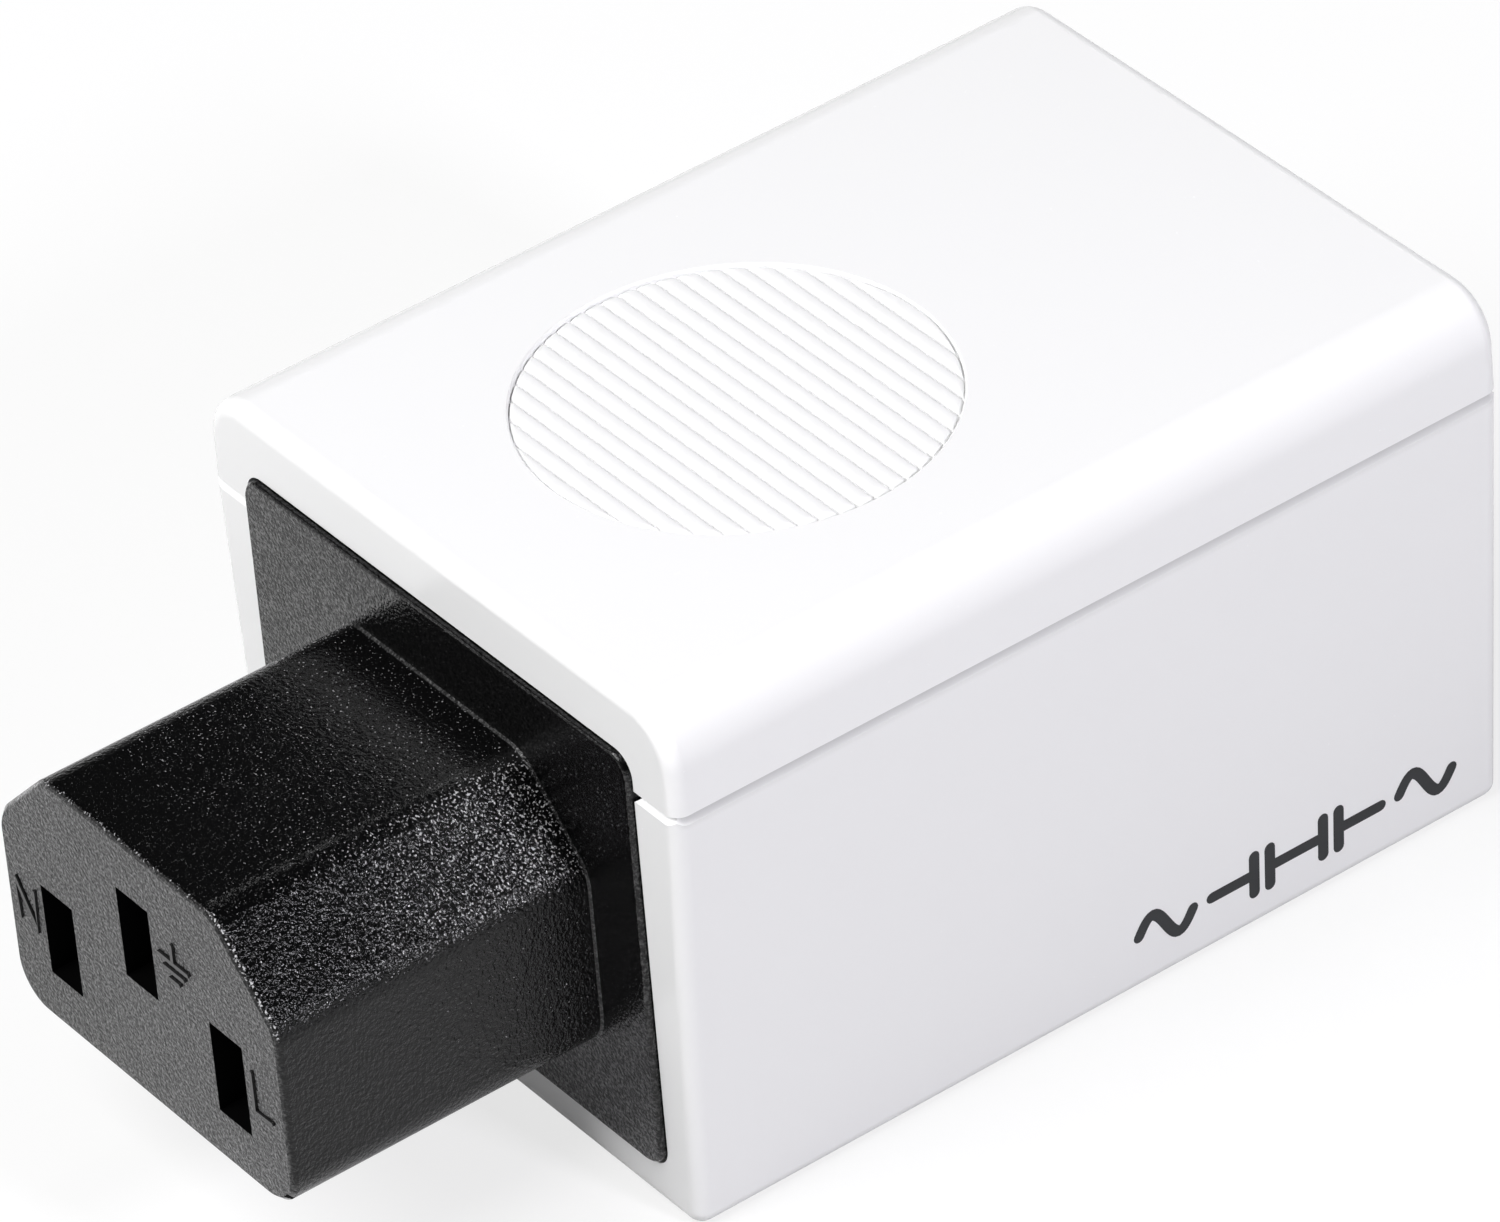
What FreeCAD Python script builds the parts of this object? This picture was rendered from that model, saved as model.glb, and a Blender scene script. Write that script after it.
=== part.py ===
import FreeCAD, Part
import math
import os
import re
import Sketcher

# Mains DC blocker: a two-shell moulded box with an appliance outlet on its
# front, an appliance inlet on its back and a blocking circuit between them.
# Row frame in millimetres: X across, Y from the outlet towards the inlet,
# Z up, origin at the centre of the flat underside.

DRIVING_SIZES = {
    # case
    "case_length": "50.4",
    "case_side_margin": "7.15",
    "case_top_margin": "3.6",
    "cover_height": "5.5",
    "side_taper": "1.1",
    "cover_taper": "0.15",
    "wall": "1.6",
    "floor_thick": "2",
    "roof_thick": "2",
    "base_radius": "0.9",
    "end_radius": "0.85",
    "shoulder_radius": "2.9",
    "seam_gap": "0.12",
    "seam_chamfer": "0.45",
    "tongue_height": "1.4",
    "tongue_thick": "0.7",
    "tongue_clear": "0.1",
    # ribbed disc in the top
    "disc_diameter": "22.2",
    "disc_front": "18.4",
    "disc_depth": "0.35",
    "disc_clear": "0.08",
    "rib_pitch": "1.005",
    "rib_gap": "0.16",
    "rib_height": "0.29",
    "rib_shoulder": "0.14",
    # plate that fills the opening in each end wall
    "plate_bottom": "2.6",
    "plate_side_margin": "3.85",
    "plate_low_margin": "4.95",
    "plate_high_margin": "4.15",
    "plate_proud": "0.35",
    "plate_radius": "1.25",
    "plate_edge": "0.18",
    "plate_clear": "0.1",
    "mouth_width": "0.6",
    "mouth_height": "0.5",
    "flange_thick": "1.6",
    "flange_rise": "0.6",
    "fit_clear": "0.1",
    "rail_depth": "0.8",
    "rail_width": "1.2",
    # outlet plug
    "plug_length": "18.5",
    "plug_width": "23.1",
    "plug_below": "5.8",
    "plug_above": "9.9",
    "plug_chamfer": "4.6",
    "plug_bevel_round": "2.3",
    "plug_corner": "2.4",
    "plug_edge": "0.3",
    "plug_root": "0.12",
    "contact_pitch": "14",
    "earth_offset": "4",
    "slot_width": "2.65",
    "slot_height": "5.36",
    "slot_depth": "3.2",
    "chamber_width": "3.6",
    "chamber_height": "5.8",
    "block_depth": "2.4",
    "block_wall": "1.2",
    "cap_thick": "1.4",
    "cap_margin": "1.2",
    # spring contacts
    "strip_thick": "0.5",
    "strip_height": "4.6",
    "spring_length": "5.5",
    "spring_nip": "0.75",
    "spring_flare": "0.35",
    "mouth_play": "0.3",
    "side_play": "0.2",
    "tail_width": "0.8",
    "tail_reach": "3",
    # inlet socket
    "socket_clear": "0.45",
    "socket_depth": "16.5",
    "socket_wall": "1.5",
    "socket_back": "2.5",
    "pin_width": "2",
    "pin_height": "4",
    "pin_reach": "14.5",
    "pin_bevel": "0.5",
    "pin_tail_width": "1.2",
    "pin_tail_height": "2.6",
    "pin_tail_stub": "0.9",
    # circuit board and what it carries
    "board_thick": "1.6",
    "board_standoff": "1.5",
    "board_top_gap": "0.3",
    "hole_clear": "0.15",
    "can_diameter": "9.5",
    "can_length": "12.5",
    "can_wall_gap": "1.136",
    "can_floor_gap": "0.3",
    "can_roof_gap": "0.4",
    "can_edge": "0.5",
    "rectifier_width": "9.6",
    "rectifier_depth": "5.6",
    "rectifier_height": "6.6",
    "rectifier_gap": "0.4",
    "rectifier_bevel": "0.8",
    "film_width": "9.8",
    "film_depth": "8.2",
    "film_height": "6.6",
    "film_roof_gap": "0.5",
    "film_edge": "0.5",
    "resistor_length": "6",
    "resistor_diameter": "2.3",
    "resistor_rise": "1.1",
    "resistor_wire": "0.6",
    "resistor_standoff": "0.9",
    # insulated leads
    "lead_diameter": "2.2",
    "lead_straight": "4",
    "lead_pad_shift": "3",
    "lead_pad_rise": "1",
}

doc = FreeCAD.newDocument("mains_dc_blocker")
sizes = doc.addObject("Spreadsheet::Sheet", "Sizes")
for row, (alias, number) in enumerate(DRIVING_SIZES.items(), start=1):
    sizes.set(f"A{row}", alias)
    sizes.set(f"B{row}", number)
    sizes.setAlias(f"B{row}", alias)
doc.recompute()

TOUCH = 1e-4
OVERCUT = "1"
RUN_SHARE = 0.45

# Places that several pieces share, written once as expressions.
half_length = "(case_length / 2)"
plug_face = f"({half_length} + plug_length)"
plug_half = "(plug_width / 2)"
plug_low = "(plate_bottom + plate_low_margin)"
contact_height = f"({plug_low} + plug_below)"
plug_high = f"({contact_height} + plug_above)"
plate_half = f"({plug_half} + plate_side_margin)"
plate_top = f"({plug_high} + plate_high_margin)"
half_width = f"({plug_half} + case_side_margin)"
case_height = f"({plate_top} + case_top_margin)"
seam_height = f"({case_height} - cover_height)"
foot_half = f"({half_width} - side_taper)"
cover_rim = f"({seam_height} + seam_gap)"
inner_half = f"({half_width} - wall)"
inner_end = f"({half_length} - wall)"
floor_inner_half = f"({inner_half} - side_taper * (1 - floor_thick / {seam_height}))"
rail_half = f"({floor_inner_half} - rail_depth)"
flange_top = f"({plate_top} + flange_rise)"
flange_inner = f"({inner_end} - flange_thick)"
outlet_rear = f"({flange_inner} - block_depth)"
cap_face = f"({outlet_rear} + cap_thick)"
cap_half = "(contact_pitch / 2 + chamber_width / 2 + cap_margin)"
cap_low = f"({contact_height} - chamber_height / 2 - cap_margin)"
cap_high = f"({contact_height} + earth_offset + chamber_height / 2 + cap_margin)"
outlet_tail_end = f"({outlet_rear} - tail_reach)"
socket_mouth = f"({half_length} + plate_proud)"
socket_floor = f"({socket_mouth} - socket_depth)"
socket_rear = f"({socket_floor} - socket_back)"
board_rear = f"({socket_rear} - board_standoff)"
board_front = f"({board_rear} - board_thick)"
board_top = f"({case_height} - roof_thick - board_top_gap)"
disc_centre = f"(disc_front - {half_length})"
disc_floor = f"({case_height} - disc_depth)"
can_across = f"({floor_inner_half} - can_wall_gap - can_diameter / 2)"

# The three poles, seen from the outlet side: name, X place, height.
POLES = (
    ("neutral", "(0 - contact_pitch / 2)", contact_height),
    ("earth", "0", f"({contact_height} + earth_offset)"),
    ("line", "(contact_pitch / 2)", contact_height),
)


def tied(text):
    """Puts the sheet's name before each alias in an expression."""
    def named(match):
        word = match.group(0)
        return "Sizes." + word if word in DRIVING_SIZES else word
    return re.sub(r"[a-z][a-z_]*", named, text)


def size(alias):
    """A driving size as a number."""
    return float(sizes.get(alias))


def new_body(name):
    """An empty body whose name and label are the sub-part's own."""
    body = doc.addObject("PartDesign::Body", name)
    body.Label = name
    return body


def place(body, across, along, up):
    """Ties a body's placement to the sheet."""
    for axis, text in zip("xyz", (across, along, up)):
        body.setExpression(f"Placement.Base.{axis}", tied(text))


def origin_feature(body, role):
    """One of the body's own origin planes or axes."""
    return next(item for item in body.Origin.OriginFeatures if item.Role == role)


def new_sketch(body, name, role):
    """An empty sketch on one of the body's origin planes."""
    sketch = body.newObject("Sketcher::SketchObject", name)
    sketch.AttachmentSupport = [(origin_feature(body, role), "")]
    sketch.MapMode = "FlatFace"
    return sketch


def pin_point(sketch, line, end, place_x, place_y):
    """Ties a sketch point to two expressions measured from the origin."""
    spot = sketch.getPoint(line, end)
    for kind, start, text in (("DistanceX", spot.x, place_x), ("DistanceY", spot.y, place_y)):
        number = sketch.addConstraint(Sketcher.Constraint(kind, -1, 1, line, end, start))
        sketch.setExpression(f"Constraints[{number}]", tied(text))


def outline(body, name, role, corners):
    """A closed outline of straight lines whose corners are pairs of expressions."""
    sketch = new_sketch(body, name, role)
    count = len(corners)
    turns = [2 * math.pi * number / count for number in range(count + 1)]
    ring = [FreeCAD.Vector(math.cos(turn), math.sin(turn), 0) for turn in turns]
    for first, last in zip(ring, ring[1:]):
        sketch.addGeometry(Part.LineSegment(first, last), False)
    for number in range(count):
        sketch.addConstraint(
            Sketcher.Constraint("Coincident", number, 2, (number + 1) % count, 1)
        )
    for number, (place_x, place_y) in enumerate(corners):
        pin_point(sketch, number, 1, place_x, place_y)
    return sketch


def ring_outline(body, name, role, centre_x, centre_y, diameter):
    """A circle whose centre and diameter are expressions."""
    sketch = new_sketch(body, name, role)
    circle = Part.Circle(FreeCAD.Vector(1, 1, 0), FreeCAD.Vector(0, 0, 1), 2)
    sketch.addGeometry(circle, False)
    pin_point(sketch, 0, 3, centre_x, centre_y)
    number = sketch.addConstraint(Sketcher.Constraint("Diameter", 0, 4))
    sketch.setExpression(f"Constraints[{number}]", tied(diameter))
    return sketch


def extrude(body, kind, name, sketch, role, low, high):
    """A pad or pocket between two planes square to the sketch's axis."""
    towards = "0 - " if role == "XZ_Plane" else ""
    middle = f"{towards}(({low}) + ({high})) / 2"
    sketch.setExpression("AttachmentOffset.Base.z", tied(middle))
    feature = body.newObject("PartDesign::" + kind, name)
    feature.Profile = sketch
    feature.SideType = "Symmetric"
    feature.setExpression("Length", tied(f"({high}) - ({low})"))
    return feature


def slab(body, kind, name, role, corners, low, high):
    """A pad or pocket of a straight-sided outline between two planes."""
    sketch = outline(body, name + "Outline", role, corners)
    return extrude(body, kind, name, sketch, role, low, high)


def disc(body, kind, name, role, centre_x, centre_y, diameter, low, high):
    """A pad or pocket of a circle between two planes."""
    sketch = ring_outline(body, name + "Outline", role, centre_x, centre_y, diameter)
    return extrude(body, kind, name, sketch, role, low, high)


def box_corners(low_x, high_x, low_y, high_y):
    """The four corners of a rectangle."""
    return [(low_x, low_y), (high_x, low_y), (high_x, high_y), (low_x, high_y)]


def around(across, up, half_x, half_z):
    """The four corners of a rectangle round a centre."""
    return box_corners(f"{across} - ({half_x})", f"{across} + ({half_x})",
                       f"{up} - ({half_z})", f"{up} + ({half_z})")


def centred(half):
    """The two limits of a span centred on zero."""
    return f"0 - {half}", half


def middle_of(edge):
    """The point half-way along an edge."""
    return edge.valueAt((edge.FirstParameter + edge.LastParameter) / 2)


def runs_along(edge, axis):
    """True for a straight edge within a few degrees of an axis."""
    if edge.Curve.TypeId != "Part::GeomLine":
        return False
    return abs(getattr(edge.tangentAt(edge.FirstParameter), axis)) > 0.99


def at(number, target):
    """True when two lengths are the same."""
    return abs(number - target) < TOUCH


def lies_in(edge, axis, level):
    """True when the whole edge lies in a plane square to an axis."""
    spots = [getattr(vertex.Point, axis) for vertex in edge.Vertexes]
    spots.append(getattr(middle_of(edge), axis))
    return all(at(spot, level) for spot in spots)


def soften(body, kind, name, amount, chosen):
    """A fillet or chamfer on the edges of the tip that pass a test.

    The test is given each edge and the box round the whole tip.
    """
    doc.recompute()
    tip = body.Tip
    box = tip.Shape.BoundBox
    edges = [
        f"Edge{number}"
        for number, edge in enumerate(tip.Shape.Edges, start=1)
        if chosen(edge, box)
    ]
    feature = body.newObject("PartDesign::" + kind, name)
    feature.Base = (tip, edges)
    feature.setExpression("Radius" if kind == "Fillet" else "Size", tied(amount))
    return feature


def at_corners(feature, numbers):
    """A test for the edges along Y that a feature's outline draws at some of its corners."""
    sketch = feature.Profile[0]

    def chosen(edge, box):
        """True for an edge that runs back from one of the corners."""
        middle = middle_of(edge)
        spots = [sketch.Placement.multVec(sketch.getPoint(number, 1)) for number in numbers]
        return runs_along(edge, "y") and any(
            at(middle.x, spot.x) and at(middle.z, spot.z) for spot in spots)
    return chosen


def on_an_end(edge, box):
    """True for an edge of the front or the back face."""
    return lies_in(edge, "y", box.YMin) or lies_in(edge, "y", box.YMax)


def end_opening(body, name, corners):
    """The opening for a plate, cut through the front and the back wall."""
    slab(body, "Pocket", name + "Front", "XZ_Plane", corners,
         f"0 - {half_length} - {OVERCUT}", f"0 - {inner_end}")
    return slab(body, "Pocket", name + "Back", "XZ_Plane", corners,
                inner_end, f"{half_length} + {OVERCUT}")


def seam_bevel(body, name, role, sign, reach, half_run):
    """The bevel on one edge of the rim, run out past both ends of the edge."""
    slab(body, "Pocket", f"{name}Bevel", role,
         [(f"{sign}({reach} - seam_chamfer - {OVERCUT})", f"{seam_height} + {OVERCUT}"),
          (f"{sign}({reach} + {OVERCUT})", f"{seam_height} - seam_chamfer - {OVERCUT}"),
          (f"{sign}({reach} + {OVERCUT})", f"{seam_height} + {OVERCUT}")],
         *centred(f"({half_run} + {OVERCUT})"))


def bottom_shell():
    """Tub with tapered sides, rails for the inner parts and a rebated rim."""
    body = new_body("bottom_shell")
    slab(body, "Pad", "Block", "XZ_Plane",
         [(f"0 - {foot_half}", "0"), (foot_half, "0"),
          (half_width, seam_height), (f"0 - {half_width}", seam_height)],
         *centred(half_length))
    soften(body, "Fillet", "BaseEdges", "base_radius",
           lambda edge, box: runs_along(edge, "y") and lies_in(edge, "z", box.ZMin))
    soften(body, "Fillet", "EndEdges", "end_radius",
           lambda edge, box: on_an_end(edge, box) and not lies_in(edge, "z", box.ZMax))
    for name, sign in (("Low", "0 - "), ("High", "")):
        seam_bevel(body, f"{name}Side", "XZ_Plane", sign, half_width, half_length)
        seam_bevel(body, f"{name}End", "YZ_Plane", sign, half_length, half_width)

    above_rim = f"({seam_height} + {OVERCUT})"
    slab(body, "Pocket", "RailSpan", "XZ_Plane",
         box_corners(*centred(rail_half), "floor_thick", above_rim), *centred(inner_end))
    bay = [(f"0 - {floor_inner_half}", "floor_thick"), (floor_inner_half, "floor_thick"),
           (inner_half, seam_height), (inner_half, above_rim),
           (f"0 - {inner_half}", above_rim), (f"0 - {inner_half}", seam_height)]
    rail_end = f"({flange_inner} - fit_clear)"
    slab(body, "Pocket", "OutletBay", "XZ_Plane", bay, f"0 - {inner_end}", f"0 - {rail_end}")
    slab(body, "Pocket", "PartsBay", "XZ_Plane", bay,
         f"rail_width - {rail_end}", f"{board_front} - fit_clear - rail_width")
    slab(body, "Pocket", "BoardSlot", "XZ_Plane",
         box_corners(*centred(floor_inner_half), "floor_thick", above_rim),
         f"{board_front} - fit_clear", f"{board_rear} + fit_clear")
    slab(body, "Pocket", "SocketBay", "XZ_Plane", bay,
         f"{board_rear} + fit_clear + rail_width", f"{rail_end} - rail_width")
    slab(body, "Pocket", "InletBay", "XZ_Plane", bay, rail_end, inner_end)

    rebate = "tongue_thick + tongue_clear"
    slab(body, "Pocket", "Rebate", "XY_Plane",
         box_corners(*centred(f"({inner_half} + {rebate})"),
                     *centred(f"({inner_end} + {rebate})")),
         f"{seam_height} - tongue_height", above_rim)

    reach = f"({plate_half} + plate_clear)"
    wide = f"({reach} + mouth_width)"
    sill = "plate_bottom - plate_clear"
    lip = f"{seam_height} - mouth_height"
    opening = end_opening(body, "Opening",
                          [(f"0 - {reach}", sill), (reach, sill), (reach, lip),
                           (wide, seam_height), (wide, above_rim), (f"0 - {wide}", above_rim),
                           (f"0 - {wide}", seam_height), (f"0 - {reach}", lip)])
    soften(body, "Fillet", "OpeningCorners", "plate_radius", at_corners(opening, (0, 1)))
    return body


def cover_shell():
    """Cover with rounded shoulders and a tongue below its rim, before the disc is cut."""
    body = new_body("cover_shell")
    top_half = f"({half_width} - cover_taper)"
    slab(body, "Pad", "Block", "XZ_Plane",
         [(f"0 - {half_width}", cover_rim), (half_width, cover_rim),
          (top_half, case_height), (f"0 - {top_half}", case_height)],
         *centred(half_length))
    soften(body, "Fillet", "Shoulders", "shoulder_radius",
           lambda edge, box: runs_along(edge, "y") and lies_in(edge, "z", box.ZMax))
    soften(body, "Fillet", "EndEdges", "end_radius",
           lambda edge, box: on_an_end(edge, box) and not lies_in(edge, "z", box.ZMin))

    tongue_foot = f"({seam_height} - tongue_height)"
    slab(body, "Pad", "Tongue", "XY_Plane",
         box_corners(*centred(f"({inner_half} + tongue_thick)"),
                     *centred(f"({inner_end} + tongue_thick)")),
         tongue_foot, cover_rim)
    slab(body, "Pocket", "Cavity", "XY_Plane",
         box_corners(*centred(inner_half), *centred(inner_end)),
         f"{tongue_foot} - {OVERCUT}", f"{case_height} - roof_thick")

    reach = f"({plate_half} + plate_clear)"
    opening = end_opening(body, "Opening",
                          box_corners(*centred(reach), f"{tongue_foot} - {OVERCUT}",
                                      f"{plate_top} + plate_clear"))
    end_opening(body, "TongueRelief",
                box_corners(*centred(f"({reach} + mouth_width)"),
                            f"{tongue_foot} - {OVERCUT}", cover_rim))
    soften(body, "Fillet", "OpeningCorners", "plate_radius", at_corners(opening, (2, 3)))
    return body


def disc_ribs():
    """Straight ribs on a base below the recess floor, trimmed to a bevelled disc."""
    body = new_body("rib_field")
    root = f"({disc_floor} - disc_depth)"
    reach = "(disc_diameter / 2 + disc_depth)"
    crest = f"({disc_floor} + rib_height)"
    shoulder = f"({crest} - rib_shoulder)"
    first = f"({disc_centre} - disc_diameter / 2 + rib_pitch / 2)"
    half = "(rib_pitch / 2 - rib_gap / 2)"
    crown = f"({half} - rib_shoulder)"
    slab(body, "Pad", "RibFloor", "YZ_Plane",
         box_corners(f"{disc_centre} - {reach}", f"{disc_centre} + {reach}",
                     f"{root} - disc_depth", f"{root} + disc_depth / 2"),
         *centred(reach))
    rib = slab(body, "Pad", "Rib", "YZ_Plane",
               [(f"{first} - {half}", root), (f"{first} + {half}", root),
                (f"{first} + {half}", shoulder), (f"{first} + {crown}", crest),
                (f"{first} - {crown}", crest), (f"{first} - {half}", shoulder)],
               *centred(reach))
    doc.recompute()
    rows = body.newObject("PartDesign::LinearPattern", "RibRow")
    rows.Originals = [rib]
    rows.Direction = (origin_feature(body, "Y_Axis"), [""])
    rows.Mode = "Spacing"
    rows.setExpression("Offset", tied("rib_pitch"))
    rows.setExpression("Occurrences", tied("floor(disc_diameter / rib_pitch)"))
    body.Tip = rows

    trim = doc.addObject("Part::Cone", "DiscTrim")
    trim.setExpression("Radius1", tied("disc_diameter / 2 - disc_clear + disc_depth"))
    trim.setExpression("Radius2", tied("disc_diameter / 2 - disc_clear - rib_height"))
    trim.setExpression("Height", tied("disc_depth + rib_height"))
    trim.setExpression("Placement.Base.y", tied(disc_centre))
    trim.setExpression("Placement.Base.z", tied(root))

    trimmed = doc.addObject("Part::MultiCommon", "TrimmedRibs")
    trimmed.Shapes = [body, trim]
    return trimmed


def top_cover():
    """The cover with the ribbed disc cut into it: the recess less its ribs."""
    recess = doc.addObject("Part::Cylinder", "DiscRecess")
    recess.setExpression("Radius", tied("disc_diameter / 2"))
    recess.setExpression("Height", tied(f"disc_depth + {OVERCUT}"))
    recess.setExpression("Placement.Base.y", tied(disc_centre))
    recess.setExpression("Placement.Base.z", tied(disc_floor))
    cutter = doc.addObject("Part::Cut", "RecessLessRibs")
    cutter.Base = recess
    cutter.Tool = disc_ribs()

    cover = doc.addObject("Part::Cut", "top_cover")
    cover.Label = "top_cover"
    cover.Base = cover_shell()
    cover.Tool = cutter
    return cover


def end_plate(body, side):
    """Plate in the wall's opening with the retaining flange behind it."""
    def span(near, far):
        """Limits along Y for a distance range on this side."""
        return (near, far) if side > 0 else (f"0 - {far}", f"0 - {near}")

    face = f"({half_length} + plate_proud)"
    slab(body, "Pad", "Plate", "XZ_Plane",
         box_corners(*centred(plate_half), "plate_bottom", plate_top),
         *span(inner_end, face))
    soften(body, "Fillet", "PlateCorners", "plate_radius",
           lambda edge, box: runs_along(edge, "y"))
    soften(body, "Chamfer", "PlateEdge", "plate_edge",
           lambda edge, box: lies_in(edge, "y", box.YMax if side > 0 else box.YMin))
    slab(body, "Pad", "Flange", "XZ_Plane",
         [(f"0 - ({floor_inner_half} - fit_clear)", "floor_thick"),
          (f"{floor_inner_half} - fit_clear", "floor_thick"),
          (f"{inner_half} - fit_clear", seam_height),
          (f"{inner_half} - fit_clear", flange_top),
          (f"0 - ({inner_half} - fit_clear)", flange_top),
          (f"0 - ({inner_half} - fit_clear)", seam_height)],
         *span(flange_inner, inner_end))


def keyed_outline(grow="0"):
    """Plug section with its two bevels on the earth side, grown all round."""
    half = f"({plug_half} + {grow})"
    low = f"({plug_low} - {grow})"
    high = f"({plug_high} + {grow})"
    return [(f"0 - {half}", low), (half, low),
            (half, f"{high} - plug_chamfer"), (f"{half} - plug_chamfer", high),
            (f"plug_chamfer - {half}", high), (f"0 - {half}", f"{high} - plug_chamfer")]


def outlet_body():
    """Moulded outlet: plate, keyed plug with three slots, and a rear block."""
    body = new_body("outlet_body")
    end_plate(body, -1)
    plug = slab(body, "Pad", "Plug", "XZ_Plane", keyed_outline(),
                f"0 - {plug_face}", f"0 - {inner_end}")
    soften(body, "Fillet", "PlugCorners", "plug_corner", at_corners(plug, (0, 1)))
    soften(body, "Fillet", "PlugBevels", "plug_bevel_round", at_corners(plug, (2, 3, 4, 5)))
    soften(body, "Chamfer", "PlugEdge", "plug_edge",
           lambda edge, box: lies_in(edge, "y", box.YMin))
    plate_y = -(size("case_length") / 2 + size("plate_proud"))
    soften(body, "Chamfer", "PlugRoot", "plug_root",
           lambda edge, box: lies_in(edge, "y", plate_y)
           and plug.Profile[0].Shape.BoundBox.isInside(
               FreeCAD.Vector(middle_of(edge).x, plug.Profile[0].Placement.Base.y,
                              middle_of(edge).z)))

    slab(body, "Pad", "RearBlock", "XZ_Plane",
         box_corners(*centred(f"({cap_half} + block_wall)"),
                     f"{cap_low} - block_wall", f"{cap_high} + block_wall"),
         f"0 - {flange_inner}", f"0 - {outlet_rear}")
    slab(body, "Pocket", "CapRecess", "XZ_Plane",
         box_corners(*centred(cap_half), cap_low, cap_high),
         f"0 - {cap_face}", f"{OVERCUT} - {outlet_rear}")
    for name, across, up in POLES:
        slab(body, "Pocket", f"{name.title()}Slot", "XZ_Plane",
             around(across, up, "slot_width / 2", "slot_height / 2"),
             f"0 - {plug_face} - {OVERCUT}", f"slot_depth - {plug_face}")
        slab(body, "Pocket", f"{name.title()}Chamber", "XZ_Plane",
             around(across, up, "chamber_width / 2", "chamber_height / 2"),
             f"slot_depth - {plug_face}", f"0 - {cap_face}")
    return body


def outlet_rear_cap():
    """Cover behind the outlet's contacts, with a slit for each tail."""
    body = new_body("outlet_rear_cap")
    edge = "fit_clear"
    slab(body, "Pad", "Cap", "XZ_Plane",
         box_corners(*centred(f"({cap_half} - {edge})"), f"{cap_low} + {edge}",
                     f"{cap_high} - {edge}"),
         f"0 - {cap_face}", f"0 - {outlet_rear}")
    for name, across, up in POLES:
        slab(body, "Pocket", f"{name.title()}Slit", "XZ_Plane",
             around(across, up, "tail_width / 2 + fit_clear", "strip_height / 2 + fit_clear"),
             f"0 - {cap_face} - {OVERCUT}", f"{OVERCUT} - {outlet_rear}")
    return body


def outlet_contact(name, across, up):
    """Folded brass strip: two sprung leaves, a bridge behind them and a tail."""
    body = new_body(f"outlet_{name}_contact")
    outer = "(chamber_width / 2 - side_play)"
    inner = f"({outer} - strip_thick)"
    mouth = f"(mouth_play + slot_depth + {cap_face} - {plug_face})"
    spring = f"({mouth} + spring_length)"
    nip = f"({mouth} + spring_length / 3)"
    right = [("tail_width / 2", f"{cap_face} - {outlet_tail_end}"),
             ("tail_width / 2", "0"),
             (outer, "0"),
             (outer, spring),
             ("spring_nip + strip_thick", nip),
             ("spring_nip + spring_flare + strip_thick", mouth),
             ("spring_nip + spring_flare", mouth),
             ("spring_nip", nip),
             (inner, spring),
             (inner, "0 - strip_thick")]
    left = [(f"0 - ({x})", y) for x, y in reversed(right)]
    slab(body, "Pad", "Strip", "XY_Plane", right + left, *centred("(strip_height / 2)"))
    place(body, across, f"0 - {cap_face}", up)
    return body


def inlet_body():
    """Moulded inlet: plate, keyed socket open to the back, and its rear wall."""
    body = new_body("inlet_body")
    end_plate(body, 1)
    shroud = slab(body, "Pad", "Shroud", "XZ_Plane",
                  keyed_outline("(socket_clear + socket_wall)"), socket_rear, inner_end)
    soften(body, "Fillet", "ShroudCorners", "plug_corner", at_corners(shroud, (0, 1)))
    socket = slab(body, "Pocket", "Socket", "XZ_Plane", keyed_outline("socket_clear"),
                  socket_floor, f"{socket_mouth} + {OVERCUT}")
    soften(body, "Fillet", "SocketCorners", "plug_corner", at_corners(socket, (0, 1)))
    for name, across, up in POLES:
        slab(body, "Pocket", f"{name.title()}Hole", "XZ_Plane",
             around(across, up, "pin_width / 2", "pin_height / 2"),
             f"{socket_rear} - {OVERCUT}", f"{socket_floor} + {OVERCUT}")
    return body


def inlet_pin(name, across, up):
    """Flat blade with a bevelled tip and a narrow solder tail."""
    body = new_body(f"inlet_{name}_pin")
    slab(body, "Pad", "Blade", "XZ_Plane",
         box_corners(*centred("(pin_width / 2)"), *centred("(pin_height / 2)")),
         "0 - socket_back", "pin_reach")
    soften(body, "Chamfer", "Tip", "pin_bevel", lambda edge, box: lies_in(edge, "y", box.YMax))
    slab(body, "Pad", "Tail", "XZ_Plane",
         box_corners(*centred("(pin_tail_width / 2)"), *centred("(pin_tail_height / 2)")),
         "0 - socket_back - board_standoff - board_thick - pin_tail_stub", "0 - socket_back")
    place(body, across, socket_floor, up)
    return body


def circuit_board():
    """Upright board in the rails, with a slot for each inlet tail."""
    body = new_body("circuit_board")
    slab(body, "Pad", "Board", "XZ_Plane",
         box_corners(*centred(f"({floor_inner_half} - fit_clear)"), "floor_thick", board_top),
         board_front, board_rear)
    for name, across, up in POLES:
        slab(body, "Pocket", f"{name.title()}Slot", "XZ_Plane",
             around(across, up, "pin_tail_width / 2 + hole_clear",
                    "pin_tail_height / 2 + hole_clear"),
             f"{board_front} - {OVERCUT}", f"{board_rear} + {OVERCUT}")
    return body


def blocking_capacitor(number, across, up):
    """Sealed can with a bevelled end, lying with its base on the board."""
    body = new_body(f"blocking_capacitor_{number}")
    radius = "(can_diameter / 2)"
    sketch = outline(body, "CanOutline", "XY_Plane",
                     [("0", "0"), (radius, "0"), (radius, "can_edge - can_length"),
                      (f"{radius} - can_edge", "0 - can_length"), ("0", "0 - can_length")])
    can = body.newObject("PartDesign::Revolution", "Can")
    can.Profile = sketch
    can.ReferenceAxis = (sketch, ["V_Axis"])
    can.Angle = 360
    place(body, across, board_front, up)
    return body


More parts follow.
